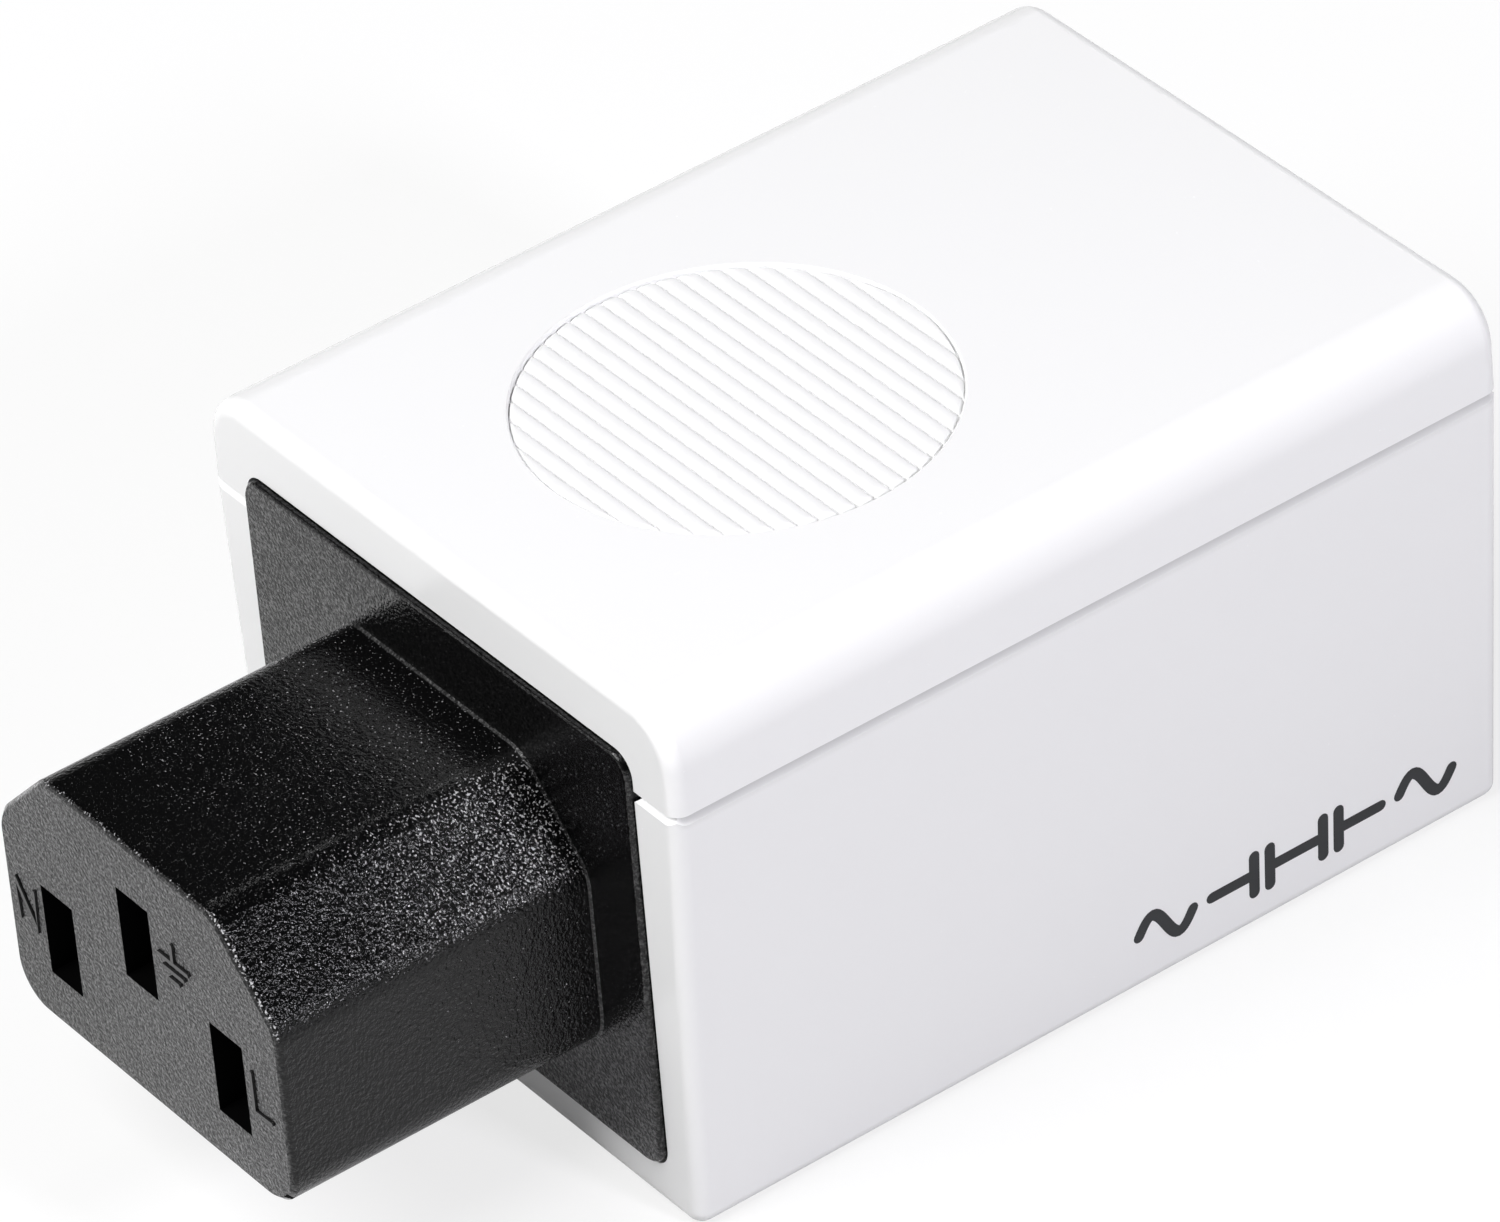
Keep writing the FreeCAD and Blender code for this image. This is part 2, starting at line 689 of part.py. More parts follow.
def bridge_rectifier():
    """Moulded bridge rectifier on the lower middle of the board."""
    body = new_body("bridge_rectifier")
    low = "(floor_thick + rectifier_gap)"
    slab(body, "Pad", "Case", "XZ_Plane",
         box_corners(*centred("(rectifier_width / 2)"), low, f"{low} + rectifier_height"),
         f"{board_front} - rectifier_depth", board_front)
    soften(body, "Chamfer", "KeyEdge", "rectifier_bevel",
           lambda edge, box: runs_along(edge, "z") and lies_in(edge, "y", box.YMin)
           and lies_in(edge, "x", box.XMax))
    return body


def film_capacitor():
    """Boxed film capacitor on the upper middle of the board."""
    body = new_body("film_capacitor")
    high = f"({case_height} - roof_thick - film_roof_gap)"
    slab(body, "Pad", "Case", "XZ_Plane",
         box_corners(*centred("(film_width / 2)"), f"{high} - film_height", high),
         f"{board_front} - film_depth", board_front)
    soften(body, "Fillet", "CaseEdges", "film_edge", lambda edge, box: runs_along(edge, "y"))
    return body


def bleeder_resistor():
    """Axial resistor with two legs down to the board."""
    body = new_body("bleeder_resistor")
    radius = "(resistor_diameter / 2)"
    half = "(resistor_length / 2)"
    disc(body, "Pad", "Barrel", "YZ_Plane", "0", "0", "resistor_diameter", *centred(half))
    for name, sign in (("Left", "0 - "), ("Right", "")):
        disc(body, "Pad", f"{name}Leg", "XZ_Plane",
             f"{sign}{half} * 3 / 4", "0", "resistor_wire",
             "0", f"{radius} + resistor_standoff")
    place(body, "0", f"{board_front} - {radius} - resistor_standoff",
          f"floor_thick + rectifier_gap + rectifier_height + resistor_rise + {radius}")
    return body


def smooth_path(points):
    """Straight runs joined by tangent arcs as large as the runs allow."""
    edges = []
    start = points[0]
    for before, corner, after in zip(points, points[1:], points[2:]):
        arriving = (corner - before).normalize()
        leaving = (after - corner).normalize()
        half_turn = arriving.getAngle(leaving) / 2
        reach = RUN_SHARE * min((corner - before).Length, (after - corner).Length)
        radius = reach / math.tan(half_turn)
        first = corner - arriving * reach
        last = corner + leaving * reach
        inwards = (leaving - arriving).normalize()
        crown = corner + inwards * (radius / math.cos(half_turn) - radius)
        edges.append(Part.LineSegment(start, first).toShape())
        edges.append(Part.Arc(first, crown, last).toShape())
        start = last
    edges.append(Part.LineSegment(start, points[-1]).toShape())
    return Part.Wire(edges)


def lead(name, points):
    """One insulated lead along a smooth path, square at both ends."""
    spots = [FreeCAD.Vector(*point) for point in points]
    path = smooth_path(spots)
    radius = size("lead_diameter") / 2
    ring = Part.Circle(spots[0], spots[1] - spots[0], radius).toShape()
    feature = doc.addObject("Part::Feature", name)
    feature.Label = name
    feature.Shape = path.makePipeShell([Part.Wire([ring])], True, False)
    feature.Placement = FreeCAD.Placement()
    print(name, "length", round(path.Length, 2), "volume over section times length",
          round(feature.Shape.Volume / (math.pi * radius ** 2 * path.Length), 4))
    return feature


def leads(contacts, pins, board):
    """Neutral and earth leads straight through, and the line lead to the board."""
    doc.recompute()
    made = []
    for name in ("neutral", "earth"):
        start = contacts[name].Placement.Base
        tail_y = contacts[name].Shape.BoundBox.YMax
        end_y = pins[name].Shape.BoundBox.YMin
        made.append(lead(f"{name}_lead", [(start.x, tail_y, start.z), (start.x, end_y, start.z)]))

    start = contacts["line"].Placement.Base
    tail_y = contacts["line"].Shape.BoundBox.YMax
    board_y = board.Shape.BoundBox.YMin
    straight = size("lead_straight")
    pad_x = start.x + size("lead_pad_shift")
    pad_z = start.z + size("lead_pad_rise")
    made.append(lead("line_lead", [(start.x, tail_y, start.z),
                                   (start.x, tail_y + straight, start.z),
                                   (pad_x, board_y - straight, pad_z),
                                   (pad_x, board_y, pad_z)]))
    return made


def check(parts):
    """Stops the build when any feature failed or any sub-part is not one sound solid."""
    doc.recompute()
    failed = [item.Name for item in doc.Objects
              if "Invalid" in item.State or "Error" in item.State]
    if failed:
        raise RuntimeError("did not build: " + ", ".join(failed))
    for part in parts:
        shape = part.Shape
        if shape.isNull() or not shape.isValid() or len(shape.Solids) != 1:
            raise RuntimeError(f"{part.Label} is not one valid solid")


def build():
    """Makes every sub-part, checks them and writes one file for each."""
    contacts = {name: outlet_contact(name, across, up) for name, across, up in POLES}
    pins = {name: inlet_pin(name, across, up) for name, across, up in POLES}
    board = circuit_board()
    parts = [top_cover(), bottom_shell(), outlet_body(), outlet_rear_cap(), inlet_body(), board]
    parts.extend(contacts.values())
    parts.extend(pins.values())
    low_can = "floor_thick + can_floor_gap + can_diameter / 2"
    high_can = f"{case_height} - roof_thick - can_roof_gap - can_diameter / 2"
    can_places = ((f"0 - {can_across}", low_can), (can_across, low_can),
                  (f"0 - {can_across}", high_can), (can_across, high_can))
    for number, (across, up) in enumerate(can_places, start=1):
        parts.append(blocking_capacitor(number, across, up))
    parts.extend([bridge_rectifier(), film_capacitor(), bleeder_resistor()])
    parts.extend(leads(contacts, pins, board))
    check(parts)
    os.makedirs("parts", exist_ok=True)
    for part in parts:
        part.Shape.exportStep(os.path.join("parts", part.Label + ".step"))
        print(part.Label, round(part.Shape.Volume, 2), "cubic mm")


build()
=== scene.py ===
"""Finishes, marks and studio for a small in-line mains dc blocker."""

import math

import bmesh
import bpy
from bpy.props import (
    FloatProperty,
    FloatVectorProperty,
    IntProperty,
    PointerProperty,
)
from mathutils import Matrix, Vector


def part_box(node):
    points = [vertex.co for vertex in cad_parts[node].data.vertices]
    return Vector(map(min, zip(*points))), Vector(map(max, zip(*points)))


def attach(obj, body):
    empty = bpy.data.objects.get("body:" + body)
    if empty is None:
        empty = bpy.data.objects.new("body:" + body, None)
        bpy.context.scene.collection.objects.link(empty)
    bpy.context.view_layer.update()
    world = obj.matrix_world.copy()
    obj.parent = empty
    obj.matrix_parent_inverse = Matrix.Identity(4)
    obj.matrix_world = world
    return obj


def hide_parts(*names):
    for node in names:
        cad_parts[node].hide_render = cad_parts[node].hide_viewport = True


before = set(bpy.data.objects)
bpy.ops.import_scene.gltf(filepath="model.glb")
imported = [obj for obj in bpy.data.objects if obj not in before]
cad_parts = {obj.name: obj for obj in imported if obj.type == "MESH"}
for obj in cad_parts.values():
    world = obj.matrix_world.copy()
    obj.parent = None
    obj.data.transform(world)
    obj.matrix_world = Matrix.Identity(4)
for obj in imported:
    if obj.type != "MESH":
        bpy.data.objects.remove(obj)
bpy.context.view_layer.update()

bl_info = {
    "name": "Mains DC Blocker",
    "version": (1, 0, 0),
    "blender": (4, 5, 0),
    "location": "3D View > Sidebar > DC Blocker",
    "description": "Finishes, marks and studio for a small in-line mains dc blocker",
    "category": "Object",
}

MM = 0.001

# places on the part that the finishes depend on
PLUG_FACE = -43.7 * MM
PLATE_FACE = -25.55 * MM
PLUG_SIDE = 11.55 * MM
PLUG_LOW = 7.55 * MM
PLUG_HIGH = 23.25 * MM
PLUG_SLANT = 30.2 * MM  # across plus up, on the plug's bevels
BEVEL_DROP = 5 * MM  # from the plug's top to just past its bevels
SHELL_FOOT = 17.6 * MM  # half the shell's width at its foot
SHELL_RIM = 25.5 * MM  # height at which the shell is widest

# how closely the meshes are made
WELD = 0.002 * MM
FLAT = 0.3  # degrees, the most that two joined flat faces turn
RIB_ARC_POINTS = 17
RIB_STATIONS = 49
RIB_SHARP = 0.9  # radians
CAP_TURNS = (0.5, 0.95, 1.3, 1.52)  # radians, round a stroke's end
STROKE_STEP = 0.05  # how much more each following stroke rises
STROKE_SINK = 0.01 * MM  # how deep a raised mark starts in the plug's face


# Sizes and colours


def length(name, description, millimetres):
    """A length property, given in millimetres and kept in metres."""
    return FloatProperty(
        name=name,
        description=description,
        default=millimetres * MM,
        unit="LENGTH",
        precision=5,
    )


def share(name, description, value):
    """A property between 0 and 1."""
    return FloatProperty(
        name=name,
        description=description,
        default=value,
        min=0,
        max=1,
        subtype="FACTOR",
    )


def colour(name, description, value):
    """A colour property."""
    return FloatVectorProperty(
        name=name,
        description=description,
        default=value,
        min=0,
        max=1,
        size=3,
        subtype="COLOR",
    )


def angle(name, description, degrees):
    """An angle property, given in degrees and kept in radians."""
    return FloatProperty(
        name=name,
        description=description,
        default=math.radians(degrees),
        unit="ROTATION",
    )


class WhiteCaseSettings(bpy.types.PropertyGroup):
    """The white moulding of the cover and the shell."""

    paint: colour("Colour", "Colour of the white moulding", (0.93, 0.93, 0.932))
    roughness: share("Roughness", "Roughness of the polished mould surface", 0.2)
    ripple_size: length("Ripple Size", "Width of the faint flow ripples", 6)
    ripple_depth: length("Ripple Depth", "Height of the faint flow ripples", 0.002)
    seam: length("Seam", "Height of the seam between the cover and the shell", 25.6)
    # the seam's shade is a painted shade: the shell is darker just under the cover's edge
    seam_reach: length("Seam Reach", "How far below the seam its shade fades out", 0.95)
    painted_seam_shade: share("Seam Shade", "How much darker the seam's gathered dust is", 0.55)
    seam_run: length("Seam Run", "How far along the case the shade goes either way", 24.6)
    seam_fade: length("Seam Fade", "Length over which it then fades out", 0.4)


class BlackMouldingSettings(bpy.types.PropertyGroup):
    """The spark-eroded black moulding of the outlet and the inlet."""

    paint: colour("Colour", "Colour of the black moulding", (0.001, 0.001, 0.0011))
    inlet_paint: colour("Inlet Colour", "The duller black of the inlet", (0.035, 0.035, 0.036))
    # painted glints: a bright colour on the grain's highest points stands in for sparkle
    painted_glints: colour("Tips", "Colour of the grains' bright tips", (0.5, 0.5, 0.51))
    roughness: share("Roughness", "Roughness between the grains", 0.12)
    grain_size: length("Grain Size", "Width of one grain", 0.22)
    grain_depth: length("Grain Depth", "Height of one grain", 0.12)
    soft: length("Softness", "Length over which one kind of grain turns into another", 0.3)
    # the length behind the face over which there are fewer painted glints
    sparse_glints: length("Worn", "How far behind the face the mould is worn smooth", 5)
    # the edge's glint is a painted glint
    edge: length("Edge", "Half width of the glinting edge behind the face", 0.2)
    wall: length("Wall", "Least wall between the plug's outside and its hollows", 0.6)


class DiscSettings(bpy.types.PropertyGroup):
    """The round recess in the cover and the ribs in it."""

    centre_y: length("Centre", "Place of the disc along the case", -6.8)
    radius: length("Radius", "Radius of the recess", 11.1)
    floor: length("Floor", "Height of the recess's floor above the case's foot", 30.65)
    top: length("Top", "Height of the cover's flat top", 31)
    rim: length("Rim", "Softened width of the recess's edge", 0.1)
    ribs: IntProperty(name="Ribs", description="Number of ribs", default=22)
    pitch: length("Pitch", "Distance from one rib to the next", 1.005)
    gap: length("Gap", "Width of the groove between two ribs", 0.1)
    height: length("Height", "Height of a rib's crown", 0.3)
    clearance: length("Clearance", "Gap between a rib's end and the recess's wall", 0.04)
    end_round: length("End Round", "Length over which a rib's end drops", 0.42)
    crown: share("Crown", "0 gives a boxy rib and 1 a round one", 0.62)


class PoleMarkSettings(bpy.types.PropertyGroup):
    """The small raised marks beside the outlet's slots."""

    stroke: length("Stroke", "Width of a stroke", 0.24)
    rise: length("Rise", "Height of a stroke above the plug's face", 0.09)
    softness: length("Softness", "Rounding of a stroke's edges", 0.04)


class SidePrintSettings(bpy.types.PropertyGroup):
    """The printed sign on the case's side: a mains line with two capacitors in it."""

    ink: colour("Ink", "Colour of the print", (0.018, 0.019, 0.021))
    start: length("Start", "Place along the case where the print begins", 2)
    middle: length("Middle", "Height of the print's middle line", 3.46)
    stroke: length("Stroke", "Width of a printed line", 0.66)
    gap: length("Gap", "Height of the ink's underside above the wall", 0.004)
    ink_thickness: length("Ink Thickness", "Thickness of the ink", 0.012)


class StudioSettings(bpy.types.PropertyGroup):
    """Camera, lamps, sky and floor."""

    azimuth: angle("Azimuth", "Turn of the camera round the part", 55.404)
    elevation: angle("Elevation", "Camera's angle above the horizon", 36.873)
    roll: angle("Roll", "Turn of the camera round its own view", -4.881)
    distance: length("Distance", "From the camera to the point it looks at", 532.485)
    lens: FloatProperty(name="Lens", description="Focal length in millimetres", default=260.62)
    aim: FloatVectorProperty(
        name="Aim",
        description="The point that the camera looks at",
        default=(-2.717 * MM, -5.2 * MM, 15.746 * MM),
        subtype="TRANSLATION",
    )
    floor: colour("Floor", "Colour of the floor", (0.98, 0.98, 0.98))
    floor_white: share("Even White", "How much of the floor shows as even white", 0.74)
    mirrored_white: share("Mirrored White", "The same in gloss and glass", 0.15)
    bounce: share("Bounce", "How much light the floor throws back at the part", 0.38)
    horizon: share("Horizon", "Brightness of the sky at the horizon", 0.75)
    sky: share("Sky", "Brightness of the sky above", 0.06)
    key: FloatProperty(name="Key", description="Power of the large lamp", default=6.5)
    front: FloatProperty(name="Front", description="Power of the lamp in front", default=0.75)
    side: FloatProperty(
        name="Side", description="Power of the small lamp at the side", default=1.71
    )
    back: FloatProperty(name="Back", description="Power of the small lamp behind", default=0.1)


# Shader maths


class Field:
    """A value, colour or vector in a material, which Python's operators add Math nodes to."""

    def __init__(self, tree, socket):
        self.tree = tree
        self.socket = socket

    def node(self, kind, settings=None, inputs=None, output=0):
        """Adds a node with its settings and its sockets' values or links."""
        made = self.tree.nodes.new(kind)
        for name, value in (settings or {}).items():
            if name == "stops":
                set_stops(made.color_ramp, value)
            else:
                setattr(made, name, value)
        for key, value in (inputs or {}).items():
            if isinstance(value, Field):
                self.tree.links.new(value.socket, made.inputs[key])
            else:
                made.inputs[key].default_value = value
        return Field(self.tree, made.outputs[output])

    def maths(self, operation, *others):
        """Adds one Math node, with this field first."""
        inputs = dict(enumerate((self, *others)))
        return self.node("ShaderNodeMath", {"operation": operation}, inputs)

    def clamped(self):
        """The field kept between 0 and 1."""
        return self.maths("MAXIMUM", 0).maths("MINIMUM", 1)

    def __add__(self, other):
        return self.maths("ADD", other)

    def __radd__(self, other):
        return self.maths("ADD", other)

    def __sub__(self, other):
        return self.maths("SUBTRACT", other)

    def __rsub__(self, other):
        return self.node("ShaderNodeMath", {"operation": "SUBTRACT"}, {0: other, 1: self})

    def __mul__(self, other):
        return self.maths("MULTIPLY", other)

    def __rmul__(self, other):
        return self.maths("MULTIPLY", other)

    def __truediv__(self, other):
        return self.maths("DIVIDE", other)

    def __gt__(self, other):
        return self.maths("GREATER_THAN", other)

    def __lt__(self, other):
        return self.maths("LESS_THAN", other)


def set_stops(ramp, stops):
    """Gives a colour ramp its stops, each a place and a colour."""
    while len(ramp.elements) > 1:
        ramp.elements.remove(ramp.elements[-1])
    ramp.elements[0].position, ramp.elements[0].color = stops[0]
    for place, value in stops[1:]:
        ramp.elements.new(place).color = value


def rgba(value):
    """A colour with its alpha."""
    return (*value, 1)


def grey(value):
    """A grey as a colour with its alpha."""
    return (value, value, value, 1)


class Finish:
    """A material while its nodes are laid: a Principled shader and a place to read from."""

    def __init__(self, name):
        self.material = bpy.data.materials.new(name)
        self.material.use_nodes = True
        tree = self.material.node_tree
        tree.nodes.clear()
        self.out = tree.nodes.new("ShaderNodeOutputMaterial")
        self.shader = tree.nodes.new("ShaderNodeBsdfPrincipled")
        tree.links.new(self.shader.outputs[0], self.out.inputs["Surface"])
        coordinates = tree.nodes.new("ShaderNodeTexCoord")
        self.tree = tree
        self.place = Field(tree, coordinates.outputs["Object"])

    def set(self, **values):
        """Sets the shader's sockets. Coat_Weight stands for Coat Weight."""
        for name, value in values.items():
            socket = self.shader.inputs[name.replace("_", " ")]
            if isinstance(value, Field):
                self.tree.links.new(value.socket, socket)
            else:
                socket.default_value = value

    def noise(self, size, detail=2, roughness=0.5, place=None):
        """Noise between 0 and 1 whose blobs are about that many metres wide."""
        return self.place.node(
            "ShaderNodeTexNoise",
            None,
            {
                "Vector": place or self.place,
                "Scale": 1 / size,
                "Detail": detail,
                "Roughness": roughness,
            },
        )

    def mix(self, factor, first, second):
        """A colour between two, by a factor."""
        return self.place.node(
            "ShaderNodeMix",
            {"data_type": "RGBA"},
            {"Factor": factor, 6: first, 7: second},
            2,
        )

    def bump(self, height, depth):
        """A normal that leans with a height between 0 and 1, over that many metres."""
        return self.place.node(
            "ShaderNodeBump", None, {"Height": height, "Distance": depth, "Strength": 1}
        )

    def axis(self, name, place=None):
        """One coordinate of the place, in metres."""
        place = place or self.place
        split = place.node("ShaderNodeSeparateXYZ", None, {0: place})
        return Field(self.tree, split.socket.node.outputs[name])

    def centred(self, point):
        """The place measured from a point."""
        return self.place.node(
            "ShaderNodeMapping",
            {"vector_type": "POINT"},
            {"Vector": self.place, "Location": -Vector(point)},
        )


def white_case(settings):
    """Glossy white moulding with faint flow ripples, a trace of dust and a painted shade under
    the cover's edge.
    """
    finish = Finish("white_case")
    ripple = finish.noise(settings.ripple_size, 1)
    haze = finish.noise(2.5 * MM, 4, 0.6)
    dust = finish.noise(0.35 * MM, 3, 0.6) > 0.74
    paint = rgba(settings.paint)
    dusted = rgba([part * 0.97 for part in settings.paint])
    # the colour of the painted shade under the cover's edge
    painted_shade_colour = rgba([part * (1 - settings.painted_seam_shade) for part in settings.paint])

    # painted shade on the shell under the cover's edge, along the two sides, where the cover's
    # overhang shades it
    upward = finish.axis("Z")
    away = finish.axis("Y").maths("ABSOLUTE")
    below = 1 - ((settings.seam - upward) / settings.seam_reach).clamped()
    beside = 1 - ((away - settings.seam_run) / settings.seam_fade).clamped()
    seam = below * below * beside * (upward < settings.seam)
    clean = finish.mix(dust * 0.5 + haze * 0.15, paint, dusted)
    finish.set(
        Base_Color=finish.mix(seam, clean, painted_shade_colour),
        Roughness=settings.roughness - 0.03 + haze * 0.06 + dust * 0.1,
        Normal=finish.bump(ripple, settings.ripple_depth),
        IOR=1.5,
    )
    return finish.material


def black_moulding(settings):
    """Black moulding from a spark-eroded mould: close grains, with painted glints on the
    highest of them.
    """
    finish = Finish("black_moulding")
    across = finish.axis("X").maths("ABSOLUTE")
    along = finish.axis("Y")
    upward = finish.axis("Z")

    # the plug's sides, without its face and the plate
    soft = settings.soft
    from_face = along - PLUG_FACE
    behind_face = (from_face / soft).clamped()
    before_plate = ((PLATE_FACE - along) / soft).clamped()
    sides = behind_face * before_plate

    # painted glints are densest on the bevels, towards the plate, and fewer on the upright
    # sides
    on_bevel = ((across + upward - PLUG_SLANT) / soft + 1.5).clamped()
    towards_plate = (from_face / (PLATE_FACE - PLUG_FACE) * 1.6 - 0.2).clamped()
    dense = on_bevel * towards_plate
    upright = ((across - PLUG_SIDE) / soft + 1).clamped() * (1 - towards_plate * 0.5)
    level = ((upward - PLUG_HIGH) / soft + 1).clamped()

    # painted glints are fewer on the top near the face, and a painted glint runs along the
    # face's edge
    sparse_glints = (1 - from_face / settings.sparse_glints).clamped() * level
    # a painted glint along the top edge just behind the face
    glint = (1 - (from_face - settings.edge).maths("ABSOLUTE") / settings.edge).clamped()
    glint = glint * (upward > PLUG_HIGH - BEVEL_DROP)

    # painted glints: only the highest points of the grain get the bright colour, standing in
    # for sparkle
    rare, steep = 0.66, 9
    close = dense * 0.09 - upright * 0.1 - sparse_glints * 0.12 + glint * 0.16
    painted_glints = finish.noise(settings.grain_size * 0.58, 2)
    painted_glints = ((painted_glints - rare + close) * steep).clamped() * (sides + glint).clamped()

    # the sides stand out most, and the face and the plate have an uneven sheen
    coarse = finish.noise(settings.grain_size, 2, 0.55)
    height = coarse * (sides * (0.35 - level * 0.5) + 0.5)
    sheen = ((finish.noise(settings.grain_size * 0.72, 3, 0.6) - 0.48) * 7).clamped()
    wear = finish.noise(4 * MM, 3)
    paint = finish.mix(along > 0, rgba(settings.paint), rgba(settings.inlet_paint))
    # the base colour carries the painted glints
    finish.set(
        Base_Color=finish.mix(painted_glints, paint, rgba(settings.painted_glints)),
        Roughness=settings.roughness - 0.04 + wear * 0.08,
        Normal=finish.bump(height, settings.grain_depth),
        Coat_Weight=sheen * (1 - sides),
        IOR=1.34,
    )
    return finish.material


def black_hollow(settings):
    """The same black inside the slots, where the mould's pins leave it dull and plain."""
    finish = Finish("black_hollow")
    draw = finish.noise(0.3 * MM, 2)
    finish.set(
        Base_Color=finish.mix(draw * 0.3, rgba(settings.paint), grey(0.0015)),
        Roughness=0.7 + draw * 0.1,
        Normal=finish.bump(draw, 0.002 * MM),
        IOR=1.1,
    )
    return finish.material


def bright_metal(name, tone, roughness, tarnish):
    """Plated or bare strip, drawn along its length, with a little tarnish."""
    finish = Finish(name)
    stretched = finish.place.node(
        "ShaderNodeVectorMath", {"operation": "MULTIPLY"}, {0: finish.place, 1: (1, 0.04, 1)}
    )
    lines = finish.noise(0.05 * MM, 2, 0.5, stretched)
    spots = finish.noise(1.4 * MM, 4, 0.6)
    dull = rgba([part * 0.55 for part in tone])
    finish.set(
        Base_Color=finish.mix(spots * tarnish, rgba(tone), dull),
        Roughness=roughness + lines * 0.12 + spots * 0.08,
        Normal=finish.bump(lines, 0.002 * MM),
        Metallic=1,
    )
    return finish.material


def board_laminate():
    """Green coated glass laminate, whose weave shows faintly, with a bare edge."""
    finish = Finish("board_laminate")
    across = finish.axis("X")
    along = finish.axis("Z")
    turns = 2 * math.pi / (0.5 * MM)
    weave = (across * turns).maths("SINE")
    weft = (along * turns).maths("SINE")
    cloth = weave * weft * 0.5 + 0.5
    blotch = finish.noise(2 * MM, 3)
    deep, pale = (0.02, 0.16, 0.06, 1), (0.05, 0.28, 0.11, 1)
    finish.set(
        Base_Color=finish.mix(cloth * 0.4 + blotch * 0.3, deep, pale),
        Roughness=0.28 + blotch * 0.15,
        Normal=finish.bump(cloth, 0.004 * MM),
    )
    return finish.material


def can_sleeve(name, centre, radius, front):
    """A capacitor's dark sleeve with a pale pole stripe, open round the bare vent end."""
    finish = Finish(name)
    place = finish.centred(centre)
    across = finish.axis("X", place)
    along = finish.axis("Y", place)
    upward = finish.axis("Z", place)
    reach = (across * across + upward * upward).maths("SQRT")
    curl, lip = 0.9 * MM, 0.1 * MM  # how far the sleeve turns in over the can's end
    bare = (reach < radius - curl) * (along < front - centre[1] + lip)
    stripe = across > radius * 0.72
    grain = finish.noise(0.4 * MM, 3)
    sleeve = finish.mix(stripe, (0.012, 0.014, 0.03, 1), (0.55, 0.56, 0.58, 1))
    finish.set(
        Base_Color=finish.mix(bare, sleeve, (0.78, 0.79, 0.8, 1)),
        Metallic=bare,
        Roughness=0.32 + grain * 0.12,
        Normal=finish.bump(grain, 0.006 * MM),
    )
    return finish.material


def plain_moulding(name, tone, roughness):
    """A small component's moulded body, with fine grain and uneven gloss."""
    finish = Finish(name)
    grain = finish.noise(0.12 * MM, 3)
    cloud = finish.noise(2 * MM, 2)
    finish.set(
        Base_Color=finish.mix(cloud * 0.5, rgba(tone), rgba([part * 0.75 for part in tone])),
        Roughness=roughness + grain * 0.15,
        Normal=finish.bump(grain, 0.01 * MM),
    )
    return finish.material


def resistor_coat():
    """Pale blue lacquer with the coloured bands of a resistor's value."""
    finish = Finish("resistor_coat")
    lacquer = (0.36, 0.56, 0.68, 1)
    across = finish.axis("X")
    banded = across.node(
        "ShaderNodeValToRGB",
        {
            "stops": [
                (0, lacquer),
                (0.2, (0.25, 0.09, 0.03, 1)),
                (0.28, lacquer),
                (0.4, (0.02, 0.02, 0.02, 1)),
                (0.48, lacquer),
                (0.6, (0.8, 0.3, 0.02, 1)),
                (0.68, lacquer),
            ]
        },
        {"Fac": across / (6 * MM) + 0.5},
    )
    banded.socket.node.color_ramp.interpolation = "CONSTANT"
    gloss = finish.noise(0.8 * MM, 3)
    finish.set(
        Base_Color=banded,
        Roughness=0.22 + gloss * 0.15,
        Normal=finish.bump(gloss, 0.01 * MM),
    )
    return finish.material


def insulation(name, tone, stripe=None):
    """Soft lead insulation, with a second colour running along it if it has one."""
    finish = Finish(name)
    matt = finish.noise(0.3 * MM, 3)
    shade = finish.mix(matt * 0.4, rgba(tone), rgba([part * 0.8 for part in tone]))
    if stripe is not None:
        across = finish.axis("X")
        shade = finish.mix(across > 0, shade, rgba(stripe))
    finish.set(
        Base_Color=shade,
        Roughness=0.38 + matt * 0.15,
        Normal=finish.bump(matt, 0.008 * MM),
    )
    return finish.material


def printed_ink(settings):
    """Flat dark ink with slightly uneven cover."""
    finish = Finish("side_print_ink")
    cover = finish.noise(0.2 * MM, 3)
    ink = rgba(settings.ink)
    finish.set(
        Base_Color=finish.mix(cover * 0.5, ink, rgba([part * 1.5 for part in settings.ink])),
        Roughness=0.42 + cover * 0.12,
        Normal=finish.bump(cover, 0.003 * MM),
        IOR=1.35,
    )
    return finish.material


# Meshes


def add_piece(name, mesh, materials):
    """An object for a finished mesh, at the origin, with its material or materials."""
    for material in materials if isinstance(materials, tuple) else (materials,):
        mesh.materials.append(material)
    piece = bpy.data.objects.new(name, mesh)
    bpy.context.scene.collection.objects.link(piece)
    return piece


def welded(node):
    """A copy of a node's triangles, with doubles merged and flat faces joined."""
    work = bmesh.new()
    work.from_mesh(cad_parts[node].data)
    bmesh.ops.remove_doubles(work, verts=work.verts, dist=WELD)
    bmesh.ops.dissolve_limit(
        work, angle_limit=math.radians(FLAT), verts=work.verts, edges=work.edges
    )
    return work


def shade(work, sharp_angle, sharp_hollow=32):
    """Smooth faces. An edge that turns by more than an angle stays sharp, less in a hollow."""
    outward = math.radians(sharp_angle)
    inward = math.radians(sharp_hollow)
    for face in work.faces:
        face.smooth = True
    for edge in work.edges:
        limit = outward if edge.is_convex else inward
        edge.smooth = len(edge.link_faces) == 2 and edge.calc_face_angle() < limit


def finished_mesh(name, work):
    """A plain mesh from the work, which is then let go."""
    mesh = bpy.data.meshes.new(name)
    work.to_mesh(mesh)
    work.free()
    for layer in ("custom_normal", "UVMap"):
        if layer in mesh.attributes:
            mesh.attributes.remove(mesh.attributes[layer])
    return mesh


def even_normals(piece):
    """Keeps the flat faces flat beside the round ones."""
    weighted = piece.modifiers.new("EvenNormals", "WEIGHTED_NORMAL")
    weighted.keep_sharp = True
    weighted.weight = 100


